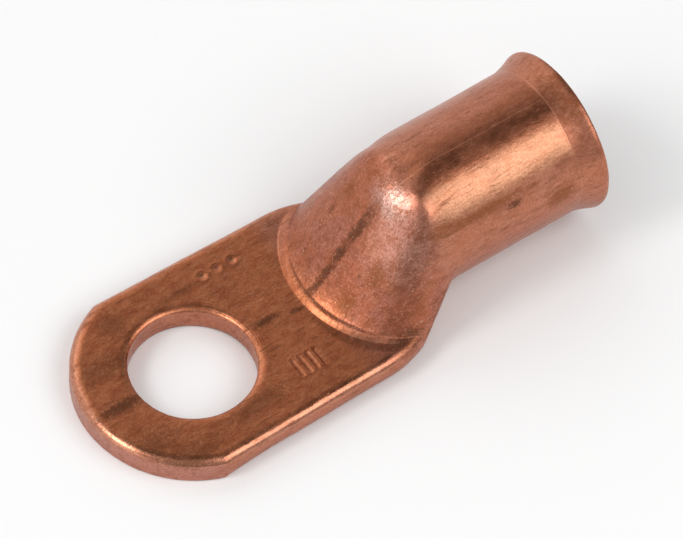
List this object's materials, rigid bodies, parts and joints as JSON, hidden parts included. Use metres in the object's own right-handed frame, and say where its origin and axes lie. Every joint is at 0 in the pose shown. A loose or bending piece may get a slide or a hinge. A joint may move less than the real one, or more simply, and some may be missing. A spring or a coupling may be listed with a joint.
{
  "type": "copper cable lug",
  "caption": "Tubular ring-tongue cable lug: flat palm with a round stud hole, sloped shoulder, and a round barrel with a flared mouth.",
  "frame": {"origin": "axis of the stud hole, on the palm's underside", "axes": "+Z along the stud hole's axis, out of the palm's top face; +X from the stud hole towards the barrel's mouth"},
  "size_m": [0.0574, 0.0236, 0.0176],
  "materials": {
    "copper": "bare copper, pressed and tumbled, half bright, with brown oxide stains and fine scratches"
  },
  "bodies": {
    "root": {"lug": "copper"}
  },
  "joints": []
}
